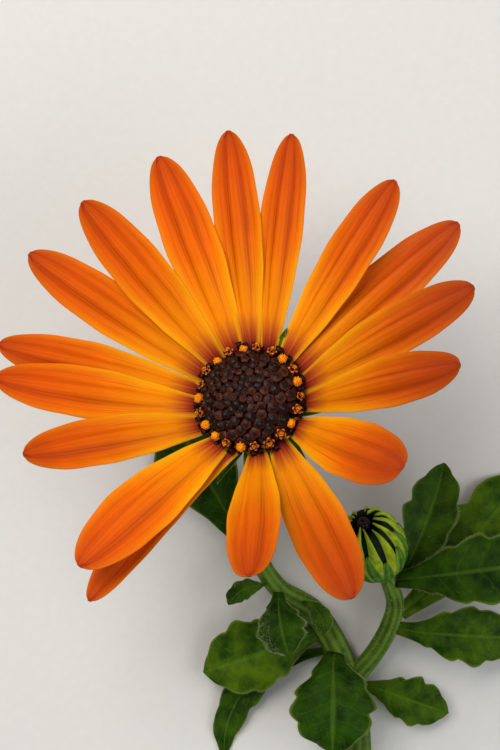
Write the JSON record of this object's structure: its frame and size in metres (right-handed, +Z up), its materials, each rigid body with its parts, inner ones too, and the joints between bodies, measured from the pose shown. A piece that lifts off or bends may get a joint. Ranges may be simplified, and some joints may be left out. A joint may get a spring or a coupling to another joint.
{
  "type": "osteospermum",
  "caption": "Cut daisy shoot lying on a surface: an open orange bloom with a dark domed disc on an upturned stalk, a green bud on a side shoot, and fleshy toothed leaves.",
  "frame": {"origin": "on the resting surface, on the flat under the main stem where the flower stalk starts to rise", "axes": "+Z up from the surface, +Y from the stem's cut end towards the bloom, +X towards the bud"},
  "size_m": [0.0679, 0.0885, 0.0477],
  "materials": {
    "orange_petal": "satin",
    "dark_floret": "satin",
    "bud_petal": "satin",
    "stem_green": "satin",
    "leaf_green": "satin",
    "bract_green": "satin"
  },
  "bodies": {
    "root": {"stem": "stem_green", "leaf_01_broad_left": "leaf_green", "leaf_02_curled_left": "leaf_green", "leaf_03_curled_right": "leaf_green", "leaf_04_small_left": "leaf_green", "leaf_05_folded_left": "leaf_green", "leaf_06_under_bloom": "leaf_green", "leaf_07_wavy_front": "leaf_green", "leaf_08_broad_right": "leaf_green", "leaf_09_behind_bud": "leaf_green", "leaf_10_long_right": "leaf_green", "leaf_11_low_right": "leaf_green", "leaf_12_front_tip": "leaf_green", "involucre": "bract_green", "ray_petals": "orange_petal", "disc_florets": "dark_floret", "bud_bracts": "bract_green", "bud_petals": "bud_petal"}
  },
  "joints": []
}
